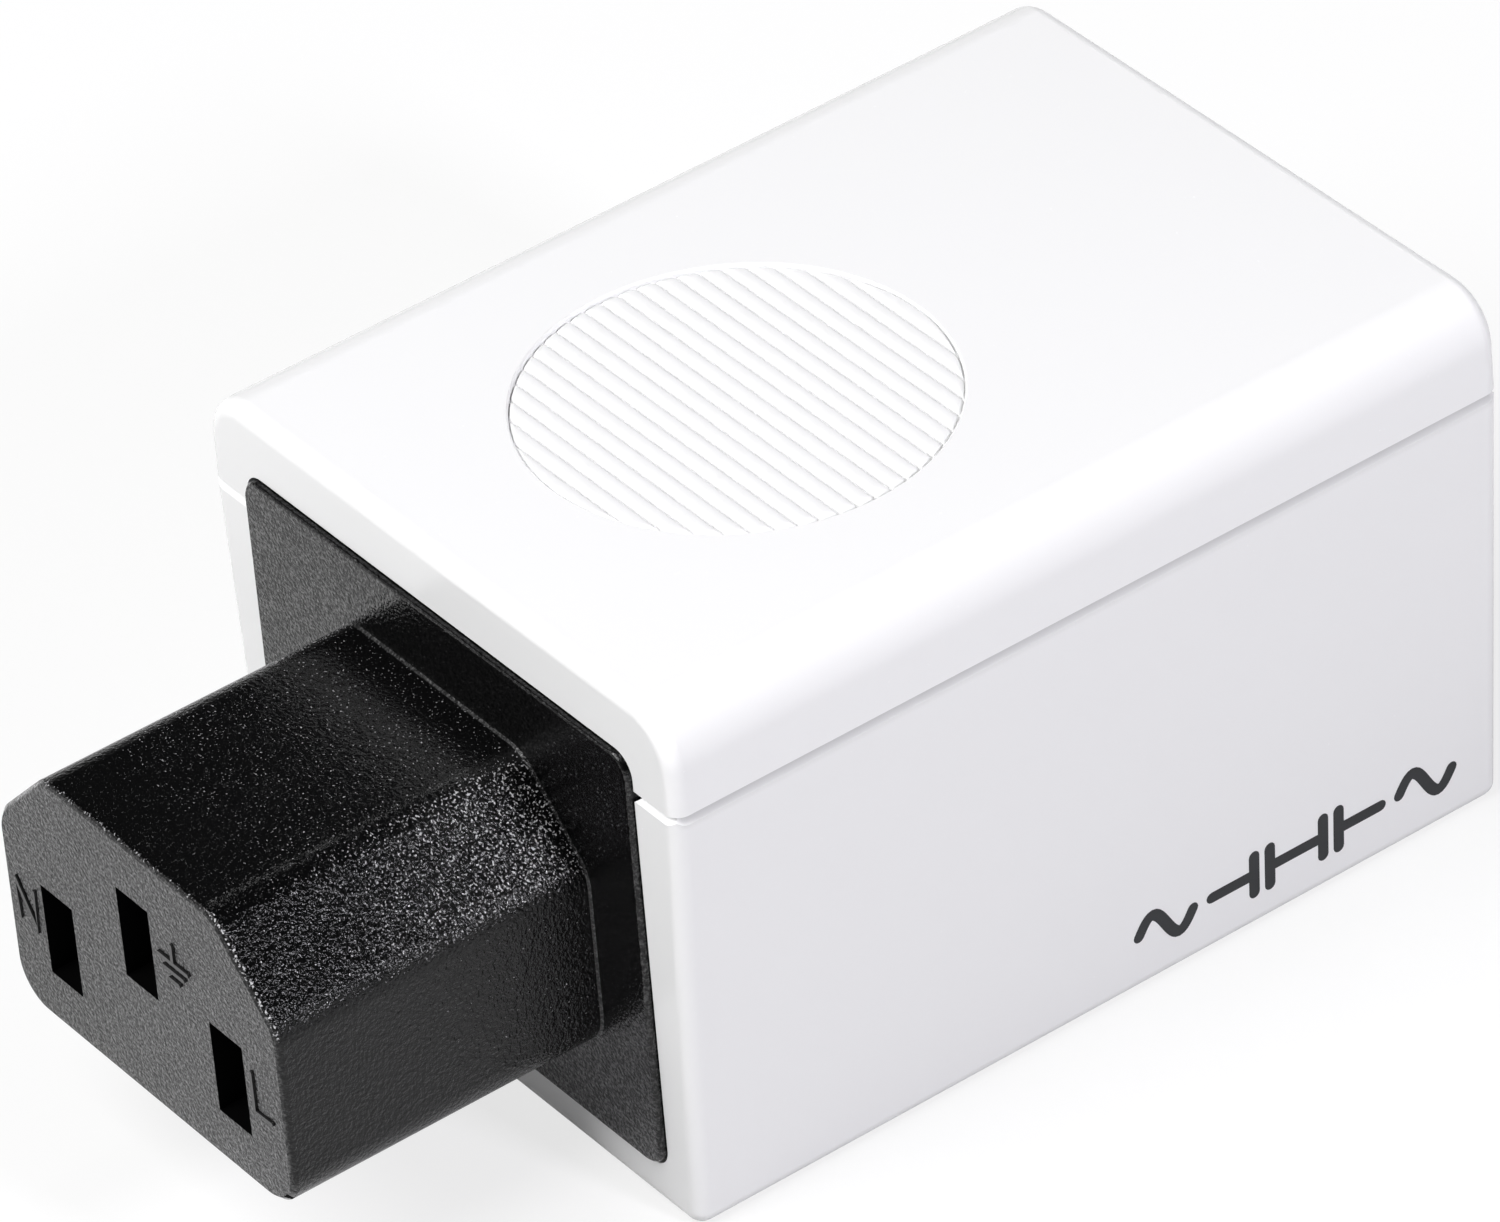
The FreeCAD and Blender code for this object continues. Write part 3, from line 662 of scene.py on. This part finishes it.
def dress(node, materials, work=None, sharp_angle=50):
    """Puts a smooth finished copy of a node in its place."""
    work = work or welded(node)
    shade(work, sharp_angle)
    piece = add_piece(node + "_finished", finished_mesh(node + "_finished", work), materials)
    even_normals(piece)
    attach(piece, "root")
    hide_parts(node)


def cut_recess(work, disc):
    """Clears the recess of its coarse ribs and gives it a soft rim, a wall and a floor."""
    centre = Vector((0, disc.centre_y))
    inside = [
        face
        for face in work.faces
        if all(
            (vert.co.xy - centre).length < disc.radius + WELD and vert.co.z > disc.floor - WELD
            for vert in face.verts
        )
        and face.calc_center_median().z < disc.top - WELD
    ]
    bmesh.ops.delete(work, geom=inside, context="FACES")
    rim = [edge for edge in work.edges if edge.is_boundary]
    for drop, inset in ((disc.rim, disc.rim), (disc.top - disc.floor - disc.rim, 0)):
        ring = bmesh.ops.extrude_edge_only(work, edges=rim)["geom"]
        rim = [part for part in ring if isinstance(part, bmesh.types.BMEdge)]
        for vert in {vert for edge in rim for vert in edge.verts}:
            flat = vert.co.xy - centre
            flat.length -= inset
            vert.co = (flat.x, flat.y + disc.centre_y, vert.co.z - drop)
    bmesh.ops.contextual_create(work, geom=rim)
    bmesh.ops.recalc_face_normals(work, faces=work.faces)


def group_input(tree, name, kind, value):
    """A named input of a Geometry Nodes tree, with its default."""
    socket = tree.interface.new_socket(name, in_out="INPUT", socket_type=kind)
    if value is not None:
        socket.default_value = value


def set_input(modifier, name, value):
    """Sets a modifier's input by its socket's identifier."""
    for item in modifier.node_group.interface.items_tree:
        if item.in_out == "INPUT" and item.name == name:
            modifier[item.identifier] = value
            return
    raise KeyError(name)


def rib_tree():
    """Ribs across a round recess: one swept bar for each, its ends drawn to the circle."""
    tree = bpy.data.node_groups.new("DiscRibs", "GeometryNodeTree")
    group_input(tree, "Geometry", "NodeSocketGeometry", None)
    for name in ("Radius", "Centre", "Floor", "Pitch", "Width", "Height", "End Round", "Crown"):
        group_input(tree, name, "NodeSocketFloat", 0.001)
    group_input(tree, "Ribs", "NodeSocketInt", 22)
    group_input(tree, "Material", "NodeSocketMaterial", None)
    tree.interface.new_socket("Geometry", in_out="OUTPUT", socket_type="NodeSocketGeometry")
    entry = tree.nodes.new("NodeGroupInput")

    def given(name):
        """An input of the tree."""
        return Field(tree, entry.outputs[name])

    radius = given("Radius")

    def add(kind, inputs=None, settings=None):
        """A node of the tree."""
        return radius.node(kind, settings, inputs)

    place = add("GeometryNodeInputPosition")

    def part_of(field, name):
        """One coordinate of a vector."""
        split = field.node("ShaderNodeSeparateXYZ", None, {0: field})
        return Field(tree, split.socket.node.outputs[name])

    def vector(x, y, z):
        """A vector from three values."""
        return add("ShaderNodeCombineXYZ", {0: x, 1: y, 2: z})

    def moved(geometry, spot):
        """Geometry whose points are put at a spot."""
        return add("GeometryNodeSetPosition", {"Geometry": geometry, "Position": spot})

    # a bar one unit long each way, with a crowned section
    arc = add(
        "GeometryNodeCurveArc",
        {"Resolution": RIB_ARC_POINTS, "Radius": 1.0, "Sweep Angle": math.pi},
        {"mode": "RADIUS"},
    )
    round_x = part_of(place, "X")
    round_y = part_of(place, "Y")
    swell = given("Crown")
    section_x = round_x.maths("SIGN") * round_x.maths("ABSOLUTE").maths("POWER", swell)
    section_y = round_y.maths("MAXIMUM", 0).maths("POWER", swell)
    closed = add("GeometryNodeSetSplineCyclic", {"Geometry": arc, "Cyclic": True})
    section = moved(
        closed, vector(section_x * given("Width") * 0.5, 0 - section_y * given("Height"), 0)
    )
    line = add("GeometryNodeCurvePrimitiveLine", {"Start": (-1, 0, 0), "End": (1, 0, 0)})
    path = add("GeometryNodeResampleCurve", {"Curve": line, "Count": RIB_STATIONS})
    bar = add(
        "GeometryNodeCurveToMesh", {"Curve": path, "Profile Curve": section, "Fill Caps": True}
    )

    # one bar for each row, on the floor
    first = given("Centre") - given("Pitch") * (given("Ribs") - 1) * 0.5
    rows = add(
        "GeometryNodeMeshLine",
        {
            "Count": given("Ribs"),
            "Start Location": vector(0, first, given("Floor")),
            "Offset": vector(0, given("Pitch"), 0),
        },
        {"mode": "OFFSET"},
    )
    spread = add("GeometryNodeInstanceOnPoints", {"Points": rows, "Instance": bar})
    ribs = add("GeometryNodeRealizeInstances", {"Geometry": spread})

    # the ends follow the circle and drop to the floor
    along = part_of(place, "X")
    across = part_of(place, "Y") - given("Centre")
    across = across.maths("MAXIMUM", 0 - radius).maths("MINIMUM", radius)
    rise = part_of(place, "Z") - given("Floor")
    square = radius * radius - across * across
    half = square.maths("MAXIMUM", 0).maths("SQRT")
    away = 1 - along.maths("ABSOLUTE")
    from_end = half * away * away * away
    spot_x = along.maths("SIGN") * (half - from_end)
    short = 1 - (from_end / given("End Round")).clamped()
    drop = (1 - short * short).maths("SQRT")
    spot = vector(spot_x, across + given("Centre"), rise * drop + given("Floor"))
    trimmed = moved(ribs, spot)
    joined = add("GeometryNodeMergeByDistance", {"Geometry": trimmed, "Distance": WELD / 2})

    # smooth, but sharp round the flat underside
    smooth = add("GeometryNodeSetShadeSmooth", {"Geometry": joined})
    turn = add("GeometryNodeInputMeshEdgeAngle")
    edged = add(
        "GeometryNodeSetShadeSmooth",
        {"Geometry": smooth, "Selection": turn > RIB_SHARP, "Shade Smooth": False},
        {"domain": "EDGE"},
    )
    painted = add("GeometryNodeSetMaterial", {"Geometry": edged, "Material": given("Material")})
    leave = tree.nodes.new("NodeGroupOutput")
    tree.links.new(painted.socket, leave.inputs[0])
    return tree


def plain_result(carrier, name):
    """The evaluated result of an object's modifiers as a plain mesh."""
    graph = bpy.context.evaluated_depsgraph_get()
    mesh = bpy.data.meshes.new_from_object(carrier.evaluated_get(graph))
    mesh.name = name
    mesh.materials.clear()
    bpy.data.objects.remove(carrier)
    return mesh


def stations(points, width):
    """Points along a stroke with the half width at each, its ends rounded."""
    half = width / 2
    track = [Vector(point) for point in points]

    def cap(end, before):
        """The narrowing places past an end."""
        outward = (end - before).normalized()
        return [
            (end + outward * half * math.sin(turn), half * math.cos(turn)) for turn in CAP_TURNS
        ]

    start = reversed(cap(track[0], track[1]))
    return [*start, *((point, half) for point in track), *cap(track[-1], track[-2])]


def add_stroke(work, points, width, place):
    """A raised stroke along a flat path. place turns (across, up, out) into the frame."""
    rows = []
    spots = stations(points, width)
    for number, (point, half) in enumerate(spots):
        before = spots[max(number - 1, 0)][0]
        after = spots[min(number + 1, len(spots) - 1)][0]
        ahead = (after - before).normalized()
        if 0 < number < len(spots) - 1:
            first = (point - before).normalized()
            mitre = ahead.dot(first)
            half = half / max(mitre, 0.5)
        aside = Vector((-ahead.y, ahead.x))
        left = point + aside * half
        right = point - aside * half
        rows.append([
            work.verts.new(place(left.x, left.y, 0)),
            work.verts.new(place(left.x, left.y, 1)),
            work.verts.new(place(right.x, right.y, 1)),
            work.verts.new(place(right.x, right.y, 0)),
        ])
    for row, following in zip(rows, rows[1:]):
        for corner in range(4):
            across = (corner + 1) % 4
            work.faces.new((row[corner], row[across], following[across], following[corner]))
    work.faces.new(rows[0])
    work.faces.new(reversed(rows[-1]))


def stroke_mesh(name, paths, width, place):
    """A mesh of closed raised strokes."""
    work = bmesh.new()
    for layer, points in enumerate(paths):
        # crossing strokes end at their own heights, so that no two faces share a plane
        def lifted(along, upward, out, raised=1 + layer * STROKE_STEP):
            return place(along, upward, out * raised)

        add_stroke(work, points, width, lifted)
    bmesh.ops.recalc_face_normals(work, faces=work.faces)
    return finished_mesh(name, work)


# Operators


class PieceOperator(bpy.types.Operator):
    """Shared settings of the operators."""

    bl_options = {"REGISTER", "UNDO"}


class DCBLOCKER_OT_case(PieceOperator):
    """Dress the cover and the shell in glossy white and cut the round recess clean"""

    bl_idname = "dcblocker.case"
    bl_label = "White Case"

    def execute(self, context):
        white = white_case(context.scene.dcblocker_case)
        cover = welded("top_cover")
        cut_recess(cover, context.scene.dcblocker_disc)
        dress("top_cover", white, cover, 40)
        dress("bottom_shell", white, None, 40)
        return {"FINISHED"}


class DCBLOCKER_OT_disc_ribs(PieceOperator):
    """Lay the ribs across the round recess"""

    bl_idname = "dcblocker.disc_ribs"
    bl_label = "Disc Ribs"

    def execute(self, context):
        disc = context.scene.dcblocker_disc
        carrier = bpy.data.objects.new("disc_ribs_carrier", bpy.data.meshes.new("carrier"))
        context.scene.collection.objects.link(carrier)
        modifier = carrier.modifiers.new("DiscRibs", "NODES")
        modifier.node_group = rib_tree()
        sizes = {
            "Radius": disc.radius - disc.rim - disc.clearance,
            "Centre": disc.centre_y,
            "Floor": disc.floor,
            "Pitch": disc.pitch,
            "Width": disc.pitch - disc.gap,
            "Height": disc.height,
            "End Round": disc.end_round,
            "Crown": disc.crown,
            "Ribs": disc.ribs,
            "Material": bpy.data.materials["white_case"],
        }
        for name, value in sizes.items():
            set_input(modifier, name, value)
        mesh = plain_result(carrier, "disc_ribs")
        work = bmesh.new()
        work.from_mesh(mesh)
        bmesh.ops.recalc_face_normals(work, faces=work.faces)
        work.to_mesh(mesh)
        work.free()
        piece = add_piece("disc_ribs", mesh, bpy.data.materials["white_case"])
        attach(piece, "root")
        return {"FINISHED"}


def within_plug(spot, wall):
    """Whether a place lies inside the plug's outline by more than a wall."""
    across = abs(spot.x)
    slant = across + spot.z + wall * math.sqrt(2)
    upright = PLUG_LOW + wall < spot.z < PLUG_HIGH - wall
    return across + wall < PLUG_SIDE and upright and slant < PLUG_SLANT


class DCBLOCKER_OT_black_mouldings(PieceOperator):
    """Dress the outlet, its rear cap and the inlet in grained black"""

    bl_idname = "dcblocker.black_mouldings"
    bl_label = "Black Mouldings"

    def execute(self, context):
        settings = context.scene.dcblocker_black
        black = black_moulding(settings)
        for node in ("outlet_rear_cap", "inlet_body"):
            dress(node, black)
        outlet = welded("outlet_body")
        for face in outlet.faces:
            hollow = all(within_plug(vert.co, settings.wall) for vert in face.verts)
            if hollow and face.calc_center_median().y > PLUG_FACE + WELD:
                face.material_index = 1
        dress("outlet_body", (black, black_hollow(settings)), outlet)
        return {"FINISHED"}


class DCBLOCKER_OT_pole_marks(PieceOperator):
    """Raise the neutral, earth and line marks beside the slots"""

    bl_idname = "dcblocker.pole_marks"
    bl_label = "Pole Marks"

    def execute(self, context):
        marks = context.scene.dcblocker_marks
        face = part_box("outlet_body")[0].y

        # neutral, line, then the earth sign's stem and bars; across and up, in millimetres
        paths = [
            [(-10.5, 12.85), (-10.5, 15.15), (-9.0, 12.85), (-9.0, 15.15)],
            [(8.95, 14.95), (8.95, 12.65), (10.3, 12.65)],
            [(3.15, 19.1), (3.15, 18.1)],
            [(1.95, 18.03), (4.35, 18.03)],
            [(2.3, 17.48), (3.95, 17.48)],
            [(2.75, 16.93), (3.5, 16.93)],
        ]
        paths = [[(x * MM, z * MM) for x, z in path] for path in paths]

        def place(across, upward, out):
            height = out * (marks.rise + STROKE_SINK) - STROKE_SINK
            return Vector((across, face - height, upward))

        mesh = stroke_mesh("pole_marks", paths, marks.stroke, place)
        piece = add_piece("pole_marks", mesh, bpy.data.materials["black_moulding"])
        bevel = piece.modifiers.new("SoftEdges", "BEVEL")
        bevel.width = marks.softness
        bevel.segments = 2
        bevel.limit_method = "ANGLE"
        bevel.angle_limit = math.radians(50)
        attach(piece, "root")
        return {"FINISHED"}


class DCBLOCKER_OT_contacts(PieceOperator):
    """Dress the outlet's spring contacts in brass and the inlet's pins in bright plating"""

    bl_idname = "dcblocker.contacts"
    bl_label = "Contacts and Pins"

    def execute(self, context):
        brass = bright_metal("contact_brass", (0.82, 0.64, 0.3), 0.2, 0.4)
        plating = bright_metal("plated_pin", (0.76, 0.75, 0.72), 0.16, 0.25)
        for pole in ("neutral", "earth", "line"):
            dress(f"outlet_{pole}_contact", brass)
            dress(f"inlet_{pole}_pin", plating)
        return {"FINISHED"}


class DCBLOCKER_OT_circuit(PieceOperator):
    """Dress the board and the components on it"""

    bl_idname = "dcblocker.circuit"
    bl_label = "Board and Components"

    def execute(self, context):
        dress("circuit_board", board_laminate())
        for number in range(1, 5):
            node = f"blocking_capacitor_{number}"
            low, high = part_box(node)
            sleeve = can_sleeve(node + "_sleeve", (low + high) / 2, (high.x - low.x) / 2, low.y)
            dress(node, sleeve, None, 35)
        dress(
            "bridge_rectifier",
            plain_moulding("component_black", (0.02, 0.02, 0.022), 0.45),
        )
        dress("film_capacitor", plain_moulding("film_box", (0.72, 0.55, 0.06), 0.3))
        dress("bleeder_resistor", resistor_coat())
        return {"FINISHED"}


class DCBLOCKER_OT_leads(PieceOperator):
    """Dress the three leads in their coloured insulation"""

    bl_idname = "dcblocker.leads"
    bl_label = "Leads"

    def execute(self, context):
        tones = {
            "line_lead": ("brown_insulation", (0.16, 0.06, 0.025)),
            "neutral_lead": ("blue_insulation", (0.02, 0.12, 0.5)),
            "earth_lead": ("green_insulation", (0.05, 0.36, 0.08), (0.8, 0.66, 0.03)),
        }
        for node, tone in tones.items():
            dress(node, insulation(*tone))
        return {"FINISHED"}


class DCBLOCKER_OT_side_print(PieceOperator):
    """Print a mains line with two capacitors in it on the case's side"""

    bl_idname = "dcblocker.side_print"
    bl_label = "Side Print"

    def execute(self, context):
        sign = context.scene.dcblocker_print
        lean = (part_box("bottom_shell")[1].x - SHELL_FOOT) / SHELL_RIM

        def place(along, upward, out):
            rise = sign.gap + out * sign.ink_thickness
            return Vector((SHELL_FOOT + lean * upward + rise, along, upward))

        def wave(start, reach=3.4, swing=0.95, steps=24):
            """A whole sine wave as points, in millimetres."""
            turns = [step / steps for step in range(steps + 1)]
            return [
                (start + reach * turn, swing * math.sin(2 * math.pi * turn)) for turn in turns
            ]

        def plate(along, half=1.15):
            """One plate of a capacitor's sign."""
            return [(along, -half), (along, half)]

        # a wave, the line with both capacitors, a wave; along and up, in millimetres
        shapes = [
            wave(0),
            [(4.6, 0), (7.3, 0)],
            plate(7.3),
            plate(8.3),
            [(8.3, 0), (11.7, 0)],
            plate(11.7),
            plate(12.7),
            [(12.7, 0), (15.4, 0)],
            wave(16.6),
        ]
        paths = [
            [(sign.start + along * MM, sign.middle + upward * MM) for along, upward in shape]
            for shape in shapes
        ]
        mesh = stroke_mesh("side_print", paths, sign.stroke, place)
        piece = add_piece("side_print", mesh, printed_ink(sign))
        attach(piece, "root")
        return {"FINISHED"}


def add_lamp(name, place, width, power, tint=(1, 1, 1)):
    """A soft square lamp that faces the part's middle. Places and widths are in metres."""
    aim = (0, 0, 15 * MM)
    data = bpy.data.lights.new(name, "AREA")
    data.shape = "SQUARE"
    data.size = width
    data.energy = power
    data.color = tint
    lamp = bpy.data.objects.new(name, data)
    lamp.location = place
    lamp.rotation_euler = (Vector(aim) - Vector(place)).to_track_quat("-Z", "Y").to_euler()
    bpy.context.scene.collection.objects.link(lamp)


class DCBLOCKER_OT_studio(PieceOperator):
    """Set the camera, the lamps, the sky and the floor"""

    bl_idname = "dcblocker.studio"
    bl_label = "Studio"

    def execute(self, context):
        studio = context.scene.dcblocker_studio
        self.set_camera(context, studio)
        self.set_sky(context, studio)
        self.set_floor(context, studio)
        add_lamp("key_lamp", (-0.04, -0.5, 0.655), 0.6, studio.key)
        add_lamp("front_lamp", (-0.35, -0.5, 0.42), 0.4, studio.front)
        add_lamp("side_lamp", (0.5, 0.08, 0.31), 0.08, studio.side, (0.95, 0.935, 1))
        add_lamp("back_lamp", (-0.27, 0.18, 0.5), 0.04, studio.back)
        context.scene.view_settings.view_transform = "Standard"
        return {"FINISHED"}

    def set_camera(self, context, studio):
        """The camera at the photograph's angle."""
        turn, tilt, roll = studio.azimuth, studio.elevation, studio.roll
        back = Vector((
            math.sin(turn) * math.cos(tilt),
            -math.cos(turn) * math.cos(tilt),
            math.sin(tilt),
        ))
        right = Vector((math.cos(turn), math.sin(turn), 0))
        up = back.cross(right)
        across = right * math.cos(roll) + up * math.sin(roll)
        upward = up * math.cos(roll) - right * math.sin(roll)
        data = bpy.data.cameras.new("camera")
        data.lens = studio.lens
        data.sensor_width = 36
        data.clip_start = 0.01
        camera = bpy.data.objects.new("camera", data)
        matrix = Matrix((across, upward, back)).transposed().to_4x4()
        matrix.translation = Vector(studio.aim) + back * studio.distance
        camera.matrix_world = matrix
        context.scene.collection.objects.link(camera)
        context.scene.camera = camera

    def set_sky(self, context, studio):
        """A sky that is pale at the horizon and dim above."""
        sky = bpy.data.worlds.new("sky")
        sky.use_nodes = True
        tree = sky.node_tree
        place = Field(tree, tree.nodes.new("ShaderNodeTexCoord").outputs["Generated"])
        split = place.node("ShaderNodeSeparateXYZ", None, {0: place}, 2)
        shade_of_sky = split.node(
            "ShaderNodeValToRGB",
            {
                "stops": [
                    (0, grey(studio.horizon)),
                    (0.1, grey(studio.horizon)),
                    (0.3, grey(studio.sky * 2)),
                    (0.5, grey(studio.sky)),
                ]
            },
            {"Fac": split},
        )
        tree.links.new(shade_of_sky.socket, tree.nodes["Background"].inputs["Color"])
        context.scene.world = sky

    def set_floor(self, context, studio):
        """A pale floor that keeps a light shadow and throws less light back than it shows."""
        reach = 3  # metres each way
        level = -0.02 * MM  # just under the case's foot, so that the two share no plane
        mesh = bpy.data.meshes.new("floor")
        turns = ((-1, -1), (1, -1), (1, 1), (-1, 1))
        corners = [(reach * across, reach * along, level) for across, along in turns]
        mesh.from_pydata(corners, [], [(0, 1, 2, 3)])
        finish = Finish("floor")
        rays = finish.place.node("ShaderNodeLightPath")
        straight, glossy, through = (
            Field(finish.tree, rays.socket.node.outputs[name])
            for name in ("Is Camera Ray", "Is Glossy Ray", "Is Transmission Ray")
        )
        mirrored = glossy + through
        seen = (straight + mirrored).clamped()
        cloud = finish.noise(100 * MM, 2)
        pale = finish.mix(cloud * 0.2, rgba(studio.floor), grey(0.96))
        finish.set(
            Base_Color=finish.mix(seen, grey(studio.bounce), pale),
            Roughness=0.9,
            Specular_IOR_Level=0.0,
        )
        even = finish.place.node("ShaderNodeEmission", None, {"Color": grey(1), "Strength": 1})
        shown = finish.place.node(
            "ShaderNodeMixShader",
            None,
            {
                0: straight * studio.floor_white + mirrored * studio.mirrored_white,
                1: Field(finish.tree, finish.shader.outputs[0]),
                2: even,
            },
        )
        finish.tree.links.new(shown.socket, finish.out.inputs["Surface"])
        floor = add_piece("floor", mesh, finish.material)


class DCBLOCKER_PT_panel(bpy.types.Panel):
    """The part's operators in the sidebar."""

    bl_label = "DC Blocker"
    bl_space_type = "VIEW_3D"
    bl_region_type = "UI"
    bl_category = "DC Blocker"

    def draw(self, context):
        for operator in OPERATORS:
            self.layout.operator(operator.bl_idname)


SETTINGS = {
    "dcblocker_case": WhiteCaseSettings,
    "dcblocker_black": BlackMouldingSettings,
    "dcblocker_disc": DiscSettings,
    "dcblocker_marks": PoleMarkSettings,
    "dcblocker_print": SidePrintSettings,
    "dcblocker_studio": StudioSettings,
}
OPERATORS = (
    DCBLOCKER_OT_case,
    DCBLOCKER_OT_disc_ribs,
    DCBLOCKER_OT_black_mouldings,
    DCBLOCKER_OT_pole_marks,
    DCBLOCKER_OT_contacts,
    DCBLOCKER_OT_circuit,
    DCBLOCKER_OT_leads,
    DCBLOCKER_OT_side_print,
    DCBLOCKER_OT_studio,
)


def register():
    """Registers the settings, the operators and the panel."""
    for name, settings in SETTINGS.items():
        bpy.utils.register_class(settings)
        setattr(bpy.types.Scene, name, PointerProperty(type=settings))
    for kind in (*OPERATORS, DCBLOCKER_PT_panel):
        bpy.utils.register_class(kind)


def unregister():
    """Takes them out again."""
    for kind in (DCBLOCKER_PT_panel, *reversed(OPERATORS)):
        bpy.utils.unregister_class(kind)
    for name, settings in SETTINGS.items():
        delattr(bpy.types.Scene, name)
        bpy.utils.unregister_class(settings)


def main():
    """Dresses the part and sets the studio."""
    register()
    bpy.ops.dcblocker.case()
    bpy.ops.dcblocker.disc_ribs()
    bpy.ops.dcblocker.black_mouldings()
    bpy.ops.dcblocker.pole_marks()
    bpy.ops.dcblocker.contacts()
    bpy.ops.dcblocker.circuit()
    bpy.ops.dcblocker.leads()
    bpy.ops.dcblocker.side_print()
    bpy.ops.dcblocker.studio()


if __name__ == "__main__":
    main()
